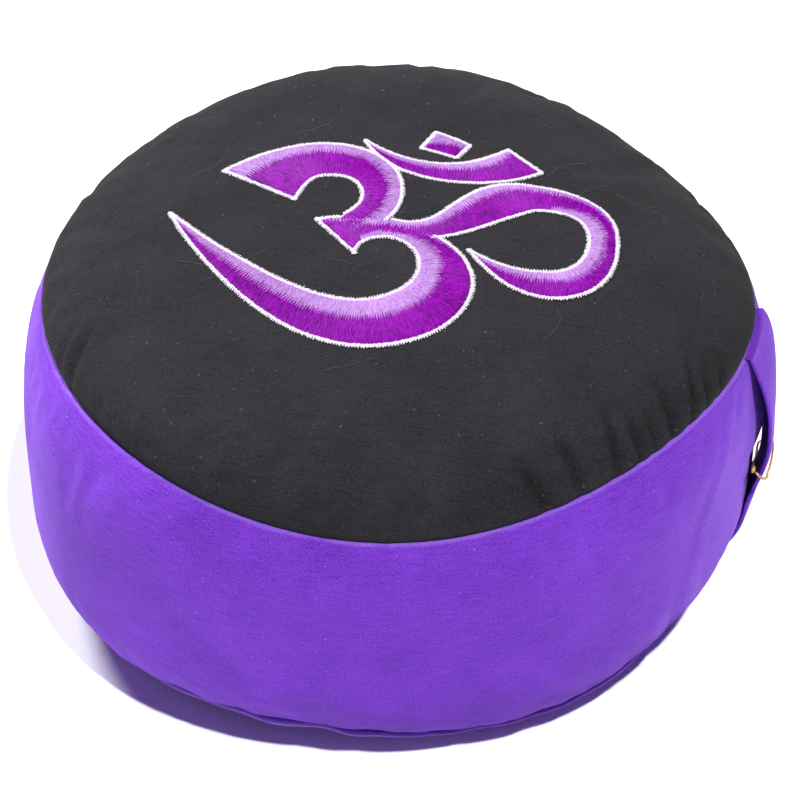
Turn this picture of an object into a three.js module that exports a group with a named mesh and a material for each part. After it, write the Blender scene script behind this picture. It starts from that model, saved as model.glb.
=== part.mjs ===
// A zafu: a round, firmly filled floor cushion for meditation.
// The purple side band holds the fill. A black panel closes the top, a purple panel closes
// the base, and a strap sewn into both seams makes the carry handle.
//
// Millimetres, +Z up. The origin is the middle of the flat base, on the floor.
// A bearing is the angle round the axis from +X, anticlockwise from above: the carry handle
// is at bearing 0, and the front of the embroidery faces bearing -78.

import * as THREE from 'three';
import { ParametricGeometry } from 'three/addons/geometries/ParametricGeometry.js';
import { mergeGeometries } from 'three/addons/utils/BufferGeometryUtils.js';

const { cos, sin, PI, pow, max, hypot, atan2 } = Math;
const { degToRad: radians, lerp } = THREE.MathUtils;

// Driving dimensions of the cushion.
const crownRise = 35.4;         // the top panel's middle above its seam
const crownFullness = 2.37;     // 2 is a plain dome, more is flatter in the middle
const topSeamRadius = 153.5;
const topSeamHeight = 132.5;
const bellyRadius = 164.5;      // the side band where it is fullest
const bellyHeight = 52;
const shoulderFullness = 6;     // how square the band's upper edge is
const tuckFullness = 2.2;       // how square its lower edge is
const baseSeamRadius = 150;
const baseSeamHeight = 12.4;
const footRadius = 112;         // the flat of the base, where the cushion rests

// Cloth.
const panelThickness = 2;
const seamGap = 0.3;            // between one piece and the next

// The carry handle: a folded strap, sewn in at both ends.
const handleWidth = 42;
const handleThickness = 2.4;
const handleEnds = { base: -78, top: 85 };   // leans of the band where its ends lie

// How far the handle's inner face stands off the band at each height: at its front edge,
// towards -Y, and at its rear edge. The strap is a little twisted.
const handleStandOff = [
  { height: 28, front: 0.3, rear: 0.3 },
  { height: 40, front: 0.4, rear: 1.1 },
  { height: 52, front: 1.7, rear: 3.5 },
  { height: 64, front: 4.1, rear: 5.2 },
  { height: 76, front: 6.6, rear: 5.9 },
  { height: 90, front: 7.6, rear: 6.1 },
  { height: 104, front: 7.5, rear: 5.4 },
  { height: 116, front: 6.1, rear: 4.0 },
  { height: 127, front: 3.8, rear: 2.1 },
  { height: 135, front: 0.6, rear: 0.3 },
];

// The gold cord, a loose loop tied round the handle: its route from the knot over the
// handle's outer face, round the rear edge, and back through the gap to the knot.
const cordDiameter = 1.2;
const knotDiameter = 4;
const knotPlace = [162.3, -22.6, 76.6];
const cordRoute = [
  [164.2, -23.5, 75.3],
  [165.6, -24.0, 74.2],
  [167.1, -23.5, 72.9],
  [168.8, -21.6, 71.7],
  [168.7, -17.0, 69.3],
  [168.4, -12.0, 65.6],
  [168.7, -6.0, 62.4],
  [169.0, 0.0, 59.8],
  [169.1, 6.0, 58.2],
  [169.1, 12.0, 56.8],
  [168.9, 18.0, 55.4],
  [168.3, 22.3, 54.4],
  [166.9, 24.2, 53.5],
  [165.0, 24.6, 52.8],
  [163.1, 23.6, 52.3],
  [162.0, 20.6, 52.8],
  [162.0, 14.0, 55.0],
  [162.1, 7.0, 58.2],
  [162.1, 0.0, 61.8],
  [161.9, -7.0, 66.0],
  [161.9, -13.5, 70.6],
  [162.1, -18.2, 74.1],
  [162.2, -20.3, 75.7],
];

// How the sewn and filled shape departs from a true round, as waves round the axis:
// how many waves, how far each swells in mm, and the bearing of one crest in degrees.
const topSeamOutOfRound = [
  { waves: 3, swell: 0.9, crest: 0 },
  { waves: 4, swell: 1.2, crest: 4 },
];
const topSeamRipple = [
  { waves: 1, swell: 1.3, crest: 175 },
  { waves: 2, swell: 2.1, crest: 134 },
  { waves: 3, swell: 3.9, crest: 103 },
  { waves: 4, swell: 1.0, crest: 68 },
];
const bellyOutOfRound = [
  { waves: 1, swell: 1.9, crest: 182 },
  { waves: 2, swell: 2.0, crest: 60 },
  { waves: 3, swell: 1.3, crest: 10 },
  { waves: 4, swell: 2.2, crest: 49 },
];
const baseSeamRipple = [
  { waves: 1, swell: 1.2, crest: 22 },
  { waves: 2, swell: 1.2, crest: 144 },
  { waves: 4, swell: 3.4, crest: 78 },
];

// Gathers in the top panel, running in from the seam: the bearing at the seam, how deep
// and how wide the trough is, how far in it reaches, and how far it leans round on the way.
const gathers = [
  { bearing: -19, depth: 0.8, width: 9, reach: 14, lean: 4 },
  { bearing: -26, depth: 1.6, width: 9, reach: 26, lean: 7 },
  { bearing: -31, depth: 1.4, width: 9, reach: 30, lean: 4 },
  { bearing: -37, depth: 1.9, width: 10, reach: 24, lean: 2 },
  { bearing: -43, depth: 1.1, width: 9, reach: 32, lean: 3 },
  { bearing: -49, depth: 1.9, width: 10, reach: 34, lean: 0 },
  { bearing: -55, depth: 1.1, width: 11, reach: 26, lean: -3 },
  { bearing: -121, depth: 0.6, width: 10, reach: 16, lean: -1 },
  { bearing: -131, depth: 0.8, width: 10, reach: 18, lean: -2 },
  { bearing: -140, depth: 1.4, width: 11, reach: 36, lean: -9 },
  { bearing: -156, depth: 0.8, width: 11, reach: 24, lean: -3 },
  { bearing: 166, depth: 0.8, width: 13, reach: 28, lean: 5 },
  { bearing: 118, depth: 0.9, width: 12, reach: 26, lean: -3 },
  { bearing: 71, depth: 1.0, width: 12, reach: 30, lean: 4 },
  { bearing: 36, depth: 0.9, width: 12, reach: 24, lean: -2 },
];

// Mesh steps round the axis, and along each run of the profile.
const stepsRound = 120;
const crownAngles = [0, 7, 15, 24, 34, 46, 62, 90];
const bandLeans = [-90, -55, -30, 0, 22, 42, 60, 76, 90];
const baseAngles = [0, 25, 55];
const handleSteps = { across: 6, along: 30 };
const cordSteps = 44;
const cordSides = 8;

const material = (color, roughness) =>
  new THREE.MeshStandardMaterial({ color, roughness, metalness: 0 });
const blackCotton = material(0x2c2b2f, 0.92);
const purpleCotton = material(0x7a45cc, 0.85);
const goldThread = new THREE.MeshStandardMaterial({ color: 0xc79a3e, roughness: 0.4, metalness: 0.6 });

const swellAt = (waves, bearing) =>
  waves.reduce((sum, w) => sum + w.swell * cos(w.waves * (bearing - radians(w.crest))), 0);

// The radii and heights of the profile's corners at one bearing.
function profileAt(bearing) {
  const belly = bellyRadius + swellAt(bellyOutOfRound, bearing);
  return {
    topRadius: topSeamRadius + swellAt(topSeamOutOfRound, bearing),
    topHeight: topSeamHeight + swellAt(topSeamRipple, bearing),
    belly,
    baseRadius: baseSeamRadius * belly / bellyRadius,
    baseHeight: baseSeamHeight + swellAt(baseSeamRipple, bearing),
  };
}

// Each run below gives a point { out, up } of the outer surface: out is the distance from
// the axis, up is the height. The parameter is an angle in radians.

// The top panel, from its seam (0) to the middle (a quarter turn).
function crownLine(angle, bearing) {
  const { topRadius, topHeight } = profileAt(bearing);
  const share = pow(max(cos(angle), 0), 2 / crownFullness);
  const rim = topSeamHeight + (topHeight - topSeamHeight) * share * share;
  return { out: topRadius * share, up: rim + crownRise * sin(angle) };
}

// The side band, from the base seam (-90 degrees of lean) past the belly (0) to the top
// seam (90 degrees).
function bandLine(lean, bearing) {
  const p = profileAt(bearing);
  const share = sin(lean);
  if (share >= 0) {
    return {
      out: p.belly - (p.belly - p.topRadius) * pow(share, shoulderFullness),
      up: bellyHeight + (p.topHeight - seamGap - bellyHeight) * share,
    };
  }
  return {
    out: p.belly - (p.belly - p.baseRadius) * pow(-share, tuckFullness),
    up: bellyHeight + (bellyHeight - p.baseHeight - seamGap) * share,
  };
}

// The base panel, from its seam (0) to the edge of the flat foot (a quarter turn).
function baseLine(angle, bearing) {
  const { baseRadius, baseHeight } = profileAt(bearing);
  return {
    out: footRadius + (baseRadius - footRadius) * pow(max(cos(angle), 0), 2),
    up: baseHeight * (1 - sin(angle)),
  };
}

// A point of a line moved off it, square to the line: to its left as the angle grows.
function offLine(line, angle, bearing, distance) {
  const nudge = 1e-4;
  const before = line(angle - nudge, bearing);
  const after = line(angle + nudge, bearing);
  const length = hypot(after.out - before.out, after.up - before.up);
  const here = line(angle, bearing);
  return {
    out: here.out - distance * (after.up - before.up) / length,
    up: here.up + distance * (after.out - before.out) / length,
  };
}

const intoPlace = ({ out, up }, bearing, target) =>
  target.set(out * cos(bearing), out * sin(bearing), up);

// How deep the gathers press into the top panel at a bearing and an angle of its profile.
function gatherDepth(angle, bearing) {
  const { out } = crownLine(angle, bearing);
  const { topRadius } = profileAt(bearing);
  const inFromSeam = topRadius - out + crownRise * sin(angle) * 0.5;
  return gathers.reduce((sum, g) => {
    const along = inFromSeam / g.reach;
    if (along >= 1) return sum;
    const centre = radians(g.bearing + g.lean * along);
    const turn = atan2(sin(bearing - centre), cos(bearing - centre));
    const across = turn * out / (g.width / 2);
    return sum + g.depth * pow(cos(along * PI / 2), 2) * Math.exp(-across * across);
  }, 0);
}

// A skin through rows that run round the axis, from the lowest row to the highest, facing
// out. Each row gives { out, up } at a bearing.
function turnedSkin(rows) {
  const surface = (aroundShare, rowShare, target) => {
    const bearing = (aroundShare % 1) * 2 * PI;
    const row = rows[Math.round(rowShare * (rows.length - 1))];
    intoPlace(row(bearing), bearing, target);
  };
  return new ParametricGeometry(surface, stepsRound, rows.length - 1);
}

function insideOut(skin) {
  skin.index.array.reverse();
  return skin;
}

const onAxis = (up) => () => ({ out: 0, up });
const crownRow = (angle, depth) => (bearing) =>
  offLine(crownLine, angle, bearing, depth + gatherDepth(angle, bearing));
const bandRow = (lean) => (bearing) => bandLine(lean, bearing);
const baseRow = (angle, depth) => (bearing) => offLine(baseLine, angle, bearing, -depth);
const footRow = (depth) => () => ({ out: footRadius, up: depth });

// The middle of the crown lies on the axis at every bearing.
const crownMiddle = topSeamHeight + crownRise;
const crownRows = (depth) => [
  ...crownAngles.slice(0, -1).map((a) => crownRow(radians(a), depth)),
  onAxis(crownMiddle - depth),
];
const baseRows = (depth) => [
  onAxis(depth),
  footRow(depth),
  ...baseAngles.toReversed().map((a) => baseRow(radians(a), depth)),
];

// The band and its fill, up to the undersides of both panels. Where a panel's edge stands
// on the band there is a narrow shelf.
function filledBodySolid() {
  const depth = panelThickness + seamGap;
  const shelf = (edge, inner) => (bearing) => ({ out: inner(bearing).out, up: edge(bearing).up });
  const top = bandRow(PI / 2);
  const base = bandRow(-PI / 2);
  const crown = crownRows(depth);
  const foot = baseRows(depth);
  return turnedSkin([
    ...foot.slice(0, -1),
    shelf(base, foot.at(-1)),
    ...bandLeans.map((lean) => bandRow(radians(lean))),
    shelf(top, crown[0]),
    ...crown.slice(1),
  ]);
}

// A panel is two skins, one inside the other, which meet along the rim.
function topPanelSolid() {
  const under = crownRows(panelThickness);
  return mergeGeometries([
    turnedSkin([under[0], ...crownRows(0)]),
    insideOut(turnedSkin(under)),
  ]);
}

function basePanelSolid() {
  const upper = baseRows(panelThickness);
  return mergeGeometries([
    turnedSkin([...baseRows(0), upper.at(-1)]),
    insideOut(turnedSkin(upper)),
  ]);
}

const standOffAt = new THREE.CubicInterpolant(
  handleStandOff.map((row) => row.height),
  handleStandOff.flatMap((row) => [row.front, row.rear]),
  2,
);

// A point of the handle: share of its length from the base end, distance from its middle
// line along the width, and height above its inner face.
function handlePoint(lengthShare, side, above) {
  const lean = radians(lerp(handleEnds.base, handleEnds.top, lengthShare));
  const bearing = side / bellyRadius;
  const [front, rear] = standOffAt.evaluate(bandLine(lean, bearing).up);
  const standOff = lerp(front, rear, side / handleWidth + 0.5);
  const point = offLine(bandLine, lean, bearing, -max(standOff, seamGap) - above);
  return intoPlace(point, bearing, new THREE.Vector3());
}

function handleSolid() {
  const strip = new THREE.BoxGeometry(
    handleThickness, handleWidth, 1, 1, handleSteps.across, handleSteps.along);
  const corner = strip.attributes.position;
  for (let i = 0; i < corner.count; i += 1) {
    const above = corner.getX(i) + handleThickness / 2;
    const place = handlePoint(corner.getZ(i) + 0.5, corner.getY(i), above);
    corner.setXYZ(i, place.x, place.y, place.z);
  }
  return strip;
}

function cordSolid() {
  const route = new THREE.CatmullRomCurve3(cordRoute.map((point) => new THREE.Vector3(...point)));
  const section = new THREE.Shape();
  section.setFromPoints(new THREE.EllipseCurve(0, 0, cordDiameter / 2, cordDiameter / 2)
    .getPoints(cordSides).slice(1));
  return new THREE.ExtrudeGeometry(section, { steps: cordSteps, extrudePath: route });
}

const knotSolid = () =>
  new THREE.IcosahedronGeometry(knotDiameter / 2, 1).translate(...knotPlace);

const zafu = new THREE.Group();

function addPiece(name, geometry, finish) {
  const piece = new THREE.Mesh(geometry, finish);
  piece.name = name;
  zafu.add(piece);
}

addPiece('filled_body', filledBodySolid(), purpleCotton);
addPiece('top_panel', topPanelSolid(), blackCotton);
addPiece('bottom_panel', basePanelSolid(), purpleCotton);
addPiece('carry_handle', handleSolid(), purpleCotton);
addPiece('gold_cord', cordSolid(), goldThread);
addPiece('cord_knot', knotSolid(), goldThread);

export default zafu;
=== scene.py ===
"""A round meditation cushion: black top panel with a satin-stitched Om, purple side band and
base, a purple carry handle and the thin gold cord tied round it.

Sizes are in millimetres until finish_mesh() or lay_threads() puts a piece in metres. A bearing
is the angle round the upright axis from +X, anticlockwise from above, and the handle is at 0.
"""

import math
import random

import bmesh
import bpy
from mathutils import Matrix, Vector, noise
from mathutils.bvhtree import BVHTree
from mathutils.interpolate import poly_3d_calc


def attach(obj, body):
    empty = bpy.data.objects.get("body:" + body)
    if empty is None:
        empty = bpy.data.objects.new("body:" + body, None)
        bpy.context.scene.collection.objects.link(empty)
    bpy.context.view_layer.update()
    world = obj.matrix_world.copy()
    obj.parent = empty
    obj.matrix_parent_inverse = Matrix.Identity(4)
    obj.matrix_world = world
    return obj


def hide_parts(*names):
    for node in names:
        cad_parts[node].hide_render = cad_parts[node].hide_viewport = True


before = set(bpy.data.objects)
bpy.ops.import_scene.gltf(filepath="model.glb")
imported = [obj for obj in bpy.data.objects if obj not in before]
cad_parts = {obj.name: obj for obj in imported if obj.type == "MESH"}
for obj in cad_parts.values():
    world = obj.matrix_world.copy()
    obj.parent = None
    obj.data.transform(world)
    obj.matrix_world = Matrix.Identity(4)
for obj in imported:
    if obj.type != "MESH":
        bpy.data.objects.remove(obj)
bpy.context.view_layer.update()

MM = 0.001
ROOT = "root"

# ---------------------------------------------------------------- the cushion's sizes

CROWN_RISE = 35.4            # the top panel's middle above its seam
CROWN_FULLNESS = 2.37
TOP_SEAM_RADIUS = 153.5
TOP_SEAM_HEIGHT = 132.5
BELLY_RADIUS = 164.5
BELLY_HEIGHT = 52
SHOULDER_FULLNESS = 5
TUCK_FULLNESS = 2.2
BASE_SEAM_RADIUS = 150
BASE_SEAM_HEIGHT = 12.4
FOOT_RADIUS = 112
PANEL_THICKNESS = 2
SEAM_GAP = 0.3               # between a panel and the fill under it

# How the sewn shape departs from a true round: waves round the axis, how far each swells,
# and the bearing of one crest.
TOP_SEAM_OUT_OF_ROUND = [(3, 0.9, 0), (4, 1.2, 4)]
TOP_SEAM_RIPPLE = [(1, 1.3, 175), (2, 2.1, 134), (3, 3.9, 103), (4, 1.0, 68)]
BELLY_OUT_OF_ROUND = [(1, 1.9, 182), (2, 2.0, 60), (3, 1.3, 10), (4, 2.2, 49)]
BASE_SEAM_RIPPLE = [(1, 1.2, 22), (2, 1.2, 144), (4, 3.4, 78)]

# Gathers of the top panel: bearing at the seam, depth, width, reach in from the seam, and
# how many degrees they lean round on the way in.
GATHERS = [
    (-18.8, 2.0, 4.7, 13, 5),
    (-22.4, 2.6, 4.2, 16, 4),
    (-26.6, 3.4, 4.7, 27, 8),
    (-31.0, 3.4, 6.0, 32, 4),
    (-35.2, 2.2, 4.2, 20, 2),
    (-37.8, 3.4, 4.7, 24, 1),
    (-42.8, 2.9, 6.0, 34, 4),
    (-49.2, 3.4, 6.0, 38, 0),
    (-54.6, 2.9, 6.8, 28, -4),
    (-66.0, 0.9, 7.6, 18, -3),
    (-121.0, 0.8, 6.0, 14, -1),
    (-130.7, 0.9, 6.0, 16, -2),
    (-140.0, 2.0, 7.0, 38, -10),
    (-144.5, 1.0, 6.0, 26, -7),
    (-156.5, 0.9, 7.0, 22, -3),
    (166.0, 1.0, 10.0, 28, 5),
    (118.0, 1.2, 9.0, 26, -3),
    (96.0, 0.8, 8.0, 20, 2),
    (71.0, 1.4, 9.0, 30, 4),
    (36.0, 1.2, 9.0, 24, -2),
]

GATHER_ROOM = 5              # how far the fill keeps below the top panel, for the gathers
GATHER_ROOT = 8              # a gather is shallow at the seam and reaches its depth this far in
GATHER_RIDGE = 0.35          # height of the ridge on either side, as a share of the depth

# Soft folds of the side band: bearing and height of the upper end and of the lower end,
# height of the ridge (a trough is negative), and its width.
BAND_FOLDS = [
    (-17.5, 128, -25.5, 86, 0.55, 6),
    (-20.5, 122, -31.0, 70, -0.50, 8),
    (-24.5, 92, -30.0, 44, 0.45, 7),
    (-27.5, 84, -35.0, 36, -0.45, 8),
    (-31.0, 74, -38.0, 30, 0.40, 7),
    (-58.0, 118, -52.0, 60, 0.35, 16),
    (-89.3, 131, -88.6, 122, -0.55, 2.6),
    (-91.0, 131, -90.8, 124, -0.45, 2.4),
    (-80.0, 131, -80.2, 124, -0.50, 2.6),
    (-112.0, 128, -108.0, 92, 0.35, 12),
    (-150.0, 120, -145.0, 70, -0.40, 12),
    (-163.0, 131, -161.0, 118, -0.60, 4),
    (170.0, 122, 166.0, 60, 0.45, 13),
    (140.0, 126, 144.0, 76, -0.45, 11),
    (101.0, 118, 104.0, 58, 0.45, 13),
    (62.0, 128, 58.0, 74, -0.40, 10),
    (20.5, 126, 25.0, 72, 0.50, 8),
    (27.0, 120, 31.0, 66, -0.45, 9),
]

SEAM_TUCK = 1.5              # how far the cloth turns in at a seam
SEAM_TUCK_REACH = 1.7
BAND_TUCK = 0.8              # the same for the band's sharper edge at the top seam
BAND_TUCK_REACH = 0.9
PUCKER_DEPTH = 0.22          # the fine unevenness beside a seam
PUCKER_REACH = 9
BASE_SEAM_SCALLOP = 1.3      # small rises and falls of the base seam
BASE_LIP = 2.0               # how far the base panel rolls out under its seam
BASE_LIP_BELOW = 3.2         # how far under the seam it rolls out most
WALL_SWELL = 3.1             # the wall behind the handle, pushed out by the strap's pull
WALL_SWELL_STARTS = (76, 87)     # heights between which it sets in, and between which it ends
WALL_SWELL_ENDS = (96, 120)
WALL_SWELL_WIDTH = 24
CROWN_SLACK = 0.5            # slow rises and falls of the cloth where it is loose
BAND_SLACK = 0.9
SLACK_BESIDE_HANDLE = (20, 50)   # distances from the handle's middle between which it sets in
CREASES_BESIDE_HANDLE = (22, 42)
CREASES_FROM_SEAM = (1, 12)
TOP_SEAM_PAINTED_HIGHLIGHT = 0.3          # how pale the painted seam highlight and base lip light, and the crown's fade, make the cloth, as a share of the way to its fleck
BASE_LIP_PAINTED_LIGHT = 0.5
# paleness of the top panel outside its gathers: it is left out in the gathers, which leaves painted
# shade there
CROWN_FADE_AND_FOLD_SHADE = 0.045

# How finely the cloth is divided.
STEPS_ROUND = 420
CROWN_ROWS = 72
BAND_ROWS = 96
BASE_ROWS = 26
LAST_LEAN = 86               # lean of the band's last row before either seam

# The fill's pressure on the cloth, simulated.
FORM_STEPS_ROUND = 200
FORM_VOXEL = 5.5
FORM_PRESSURE = 4
FORM_SLACK = 0.03            # share by which the cloth is larger than the form
FORM_FRAMES = 20
FORM_HELD = 5                # distance from a seam within which the cloth is held
FORM_FOOT = 1.5              # height below which it is held
CREASE_SHARE = 0.5           # how much of a simulated crease is kept, and the most it may be
CREASE_CAP = 1.5

# The carry handle.
HANDLE_WIDTH = 42
HANDLE_LENGTH = 150
HANDLE_STEPS = 150
HANDLE_THICKNESS = 1.8
HANDLE_CUP = 1.7             # how far its middle stands out past its edges
HANDLE_CUP_STARTS = (38, 70)     # heights between which that sets in, eases off and ends
HANDLE_CUP_EASES = (76, 98)
HANDLE_CUP_EASED_BY = 0.7
HANDLE_CUP_ENDS = (112, 136)
HANDLE_ENDS = (-84, 91)      # leans of the band where its ends go into the seams
HANDLE_LAST_LEAN = 89.5      # the band has no direction past this
HANDLE_END_TUCK = 3.4

# How far the handle's inner face stands off the band: height, front edge, rear edge.
HANDLE_STAND_OFF = [
    (28, 0.3, 0.3),
    (40, 0.3, 0.7),
    (52, 0.8, 2.9),
    (64, 3.3, 2.7),
    (76, 6.4, 2.1),
    (84, 7.7, 1.9),
    (92, 7.9, 2.1),
    (104, 7.2, 2.9),
    (116, 5.1, 3.5),
    (127, 2.4, 2.5),
    (132, 1.2, 1.2),
    (136, 0.4, 0.3),
]

# The gold cord.
CORD_DIAMETER = 1.2
CORD_STRANDS = 3
CORD_TWIST = 4.5             # length of one turn of its twist
CORD_GROOVE = 0.38           # depth of the grooves between strands, as a share of the radius
CORD_PITCH = 0.2             # length of one step of its tube
KNOT_DIAMETER = 4
KNOT_THREAD = 0.84           # its thread's thickness, as a share of the cord's
KNOT_STEPS = 39
KNOT_PLACE = (162.3, -22.6, 76.6)
CORD_ROUTE = [
    (163.5, -23.3, 75.8),
    (165.4, -24.0, 74.4),
    (167.0, -23.7, 73.2),
    (168.3, -21.9, 72.0),
    (168.7, -17.0, 69.3),
    (168.4, -12.0, 65.6),
    (168.7, -6.0, 62.4),
    (169.0, 0.0, 59.8),
    (169.1, 6.0, 58.2),
    (169.1, 12.0, 56.8),
    (168.9, 18.0, 55.4),
    (168.3, 22.3, 54.4),
    (166.9, 24.2, 53.5),
    (165.0, 24.6, 52.8),
    (163.1, 23.6, 52.3),
    (162.0, 20.6, 52.8),
    (162.0, 14.0, 55.0),
    (162.1, 7.0, 58.2),
    (162.1, 0.0, 61.8),
    (161.9, -7.0, 66.0),
    (161.9, -13.5, 70.6),
    (162.1, -18.2, 74.1),
    (162.2, -20.3, 75.7),
]

# ---------------------------------------------------------------- camera, light and floor

VIEW_TURN = 11.7             # the embroidery and the camera, turned from the handle's frame
CAMERA_TILT = 41.6
CAMERA_DISTANCE = 1200
CAMERA_AIM = (1.6, 0, 68)
LENS = 120
SENSOR = 36
LAMP_DISTANCE = 2            # in metres. It doesn't matter to the light: the lamps are suns.
WORLD_STRENGTH = 0.035
FLOOR_REACH = 6000           # from its middle to its edge


def turned_to_view(x, y, z=0.0):
    """A point given square to the camera's view, in the handle's frame."""
    turn = math.radians(VIEW_TURN)
    return Vector((
        x * math.cos(turn) - y * math.sin(turn),
        x * math.sin(turn) + y * math.cos(turn),
        z,
    ))


def add_camera():
    tilt = math.radians(CAMERA_TILT)
    forward = turned_to_view(0, math.cos(tilt), -math.sin(tilt))
    camera = bpy.data.objects.new("camera", bpy.data.cameras.new("camera"))
    camera.data.lens = LENS
    camera.data.sensor_width = SENSOR
    camera.location = (turned_to_view(*CAMERA_AIM) - forward * CAMERA_DISTANCE) * MM
    camera.rotation_euler = forward.to_track_quat("-Z", "Y").to_euler()
    bpy.context.scene.collection.objects.link(camera)
    bpy.context.scene.camera = camera


def add_lamp(name, bearing, height_angle, strength, spread):
    """A distant studio lamp: where it stands round the cushion and above the floor, in degrees."""
    light = bpy.data.lights.new(name, "SUN")
    light.energy = strength
    light.angle = math.radians(spread)
    lamp = bpy.data.objects.new(name, light)
    turn, rise = math.radians(bearing), math.radians(height_angle)
    level = math.cos(rise)
    toward = Vector((math.cos(turn) * level, math.sin(turn) * level, math.sin(rise)))
    lamp.location = toward * LAMP_DISTANCE
    lamp.rotation_euler = toward.to_track_quat("Z", "Y").to_euler()
    bpy.context.scene.collection.objects.link(lamp)


def add_studio():
    """A high key lamp, a soft lamp from behind, a low one from the left, and a pale floor."""
    add_lamp("key_lamp", bearing=-45, height_angle=68, strength=3.6, spread=2.6)
    add_lamp("back_lamp", bearing=137, height_angle=38, strength=4.5, spread=18)
    add_lamp("side_lamp", bearing=200, height_angle=9, strength=0.3, spread=24)
    world = bpy.data.worlds.new("studio")
    bpy.context.scene.world = world
    world.use_nodes = True
    backdrop = world.node_tree.nodes["Background"].inputs
    backdrop["Color"].default_value = (1, 1, 1, 1)
    backdrop["Strength"].default_value = WORLD_STRENGTH
    bpy.context.scene.view_settings.view_transform = "Standard"
    floor = bmesh.new()
    bmesh.ops.create_grid(floor, x_segments=1, y_segments=1, size=FLOOR_REACH)
    finish_mesh(floor, "floor", floor_paint())


# ---------------------------------------------------------------- finishes

WEAVE_PITCH = 0.62           # from thread to thread of the cotton


class Socket:
    """An output of a shader node. Sums, products and the like of sockets add Math nodes."""

    def __init__(self, finish, output):
        self.finish = finish
        self.output = output

    def maths(self, operation, *values):
        sockets = dict(enumerate(values))
        return self.finish.node("ShaderNodeMath", {"operation": operation}, sockets)

    def __add__(self, other):
        return self.maths("ADD", self, other)

    def __sub__(self, other):
        return self.maths("SUBTRACT", self, other)

    def __rsub__(self, other):
        return self.maths("SUBTRACT", other, self)

    def __mul__(self, other):
        return self.maths("MULTIPLY", self, other)

    def __gt__(self, other):
        return self.maths("GREATER_THAN", self, other)

    def __abs__(self):
        return self.maths("ABSOLUTE", self)

    __radd__ = __add__
    __rmul__ = __mul__

    def sine(self):
        return self.maths("SINE", self)


class Finish:
    """A material, made of nodes that end in one Principled shader."""

    def __init__(self, name):
        self.material = bpy.data.materials.new(name)
        self.material.use_nodes = True
        self.tree = self.material.node_tree
        self.tree.nodes.clear()

    def node(self, kind, settings=None, inputs=None, output=0):
        """A node with its settings made first, then its sockets' values or links."""
        made = self.tree.nodes.new(kind)
        for name, value in (settings or {}).items():
            setattr(made, name, value)
        for name, value in (inputs or {}).items():
            if isinstance(value, Socket):
                self.tree.links.new(value.output, made.inputs[name])
            else:
                made.inputs[name].default_value = value
        return Socket(self, made.outputs[output] if len(made.outputs) else None)

    def object_place(self):
        """Object coordinates in millimetres."""
        place = self.node("ShaderNodeTexCoord", output="Object")
        return self.stretched(place, 1 / MM, 1 / MM, 1 / MM)

    def cloth_place(self):
        """The piece's own cloth coordinates, from its UV map, in millimetres."""
        return self.node("ShaderNodeUVMap", {"uv_map": "cloth"})

    def stretched(self, vector, x, y, z=1):
        sockets = {0: vector, 1: (x, y, z)}
        return self.node("ShaderNodeVectorMath", {"operation": "MULTIPLY"}, sockets)

    def attribute(self, name):
        return self.node("ShaderNodeAttribute", {"attribute_name": name}, None, "Fac")

    def part(self, vector, axis):
        return self.node("ShaderNodeSeparateXYZ", None, {0: vector}, axis)

    def noise(self, vector, scale, detail=2, roughness=0.5):
        sockets = {"Vector": vector, "Scale": scale, "Detail": detail, "Roughness": roughness}
        return self.node("ShaderNodeTexNoise", None, sockets)

    def mixed(self, factor, first, second):
        """From the first colour to the second."""
        sockets = {0: factor, 6: first, 7: second}
        return self.node("ShaderNodeMix", {"data_type": "RGBA"}, sockets, 2)

    def bump(self, height, distance, strength):
        sockets = {"Height": height, "Distance": distance * MM, "Strength": strength}
        return self.node("ShaderNodeBump", None, sockets)

    def shade(self, **inputs):
        """The Principled shader. An underscore in a name stands for a space."""
        values = {name.replace("_", " "): value for name, value in inputs.items()}
        shader = self.node("ShaderNodeBsdfPrincipled", None, values)
        self.node("ShaderNodeOutputMaterial", None, {"Surface": shader})
        return self.material


def colour(red, green, blue):
    """A display colour, 0 to 255, as the linear values that a shader takes."""
    def linear(level):
        share = level / 255
        return share / 12.92 if share <= 0.04045 else ((share + 0.055) / 1.055) ** 2.4
    return (linear(red), linear(green), linear(blue), 1)


def plain_weave(finish, place):
    """Height of a plain weave: threads a pitch apart, over and under by turns."""
    across = (finish.part(place, "X") * (math.pi / WEAVE_PITCH)).sine()
    along = (finish.part(place, "Y") * (math.pi / WEAVE_PITCH)).sine()
    over = across * along > 0
    return over * abs(across) + (1 - over) * abs(along)


def cotton(name, place_of, dark, light, fleck, sheen, gloss):
    """Plain-woven cotton: thread relief, slubs along the weft, soft mottling, a little lint, and
    painted light and shade from the edge attribute.
    """
    finish = Finish(name)
    place = place_of(finish)
    weave = plain_weave(finish, place)
    slub = finish.noise(finish.stretched(place, 0.09, 1.5), 1, 3, 0.6)
    warp_slub = finish.noise(finish.stretched(place, 1.9, 0.12), 1, 2, 0.6)
    grain = finish.noise(place, 1.3, 2, 0.75)
    mottle = finish.noise(place, 0.03, 3, 0.55)
    tone = slub - 0.5 + (warp_slub - 0.5) * 0.4 + (grain - 0.5) * 2.1 + (mottle - 0.5) * 0.7
    base = finish.mixed(tone + 0.5, dark, light)
    lint = finish.noise(place, 0.55, 0) > 0.83
    base = finish.mixed(lint * 0.25, base, fleck)
    # Painted light and shade: the edge attribute paints a highlight along the top seam, light on the
    # base lip, and the crown's fade that leaves painted shade in its gathers.
    base = finish.mixed(finish.attribute("edge"), base, fleck)
    height = weave * 0.5 + slub * 0.5 + warp_slub * 0.35 + grain * 0.9
    return finish.shade(
        Base_Color=base,
        Roughness=0.88 + (grain - 0.5) * 0.12,
        Normal=finish.bump(height, 0.16, 0.8),
        Sheen_Weight=sheen,
        Sheen_Roughness=0.4,
        Sheen_Tint=fleck,
        Specular_IOR_Level=gloss,
    )


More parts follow.
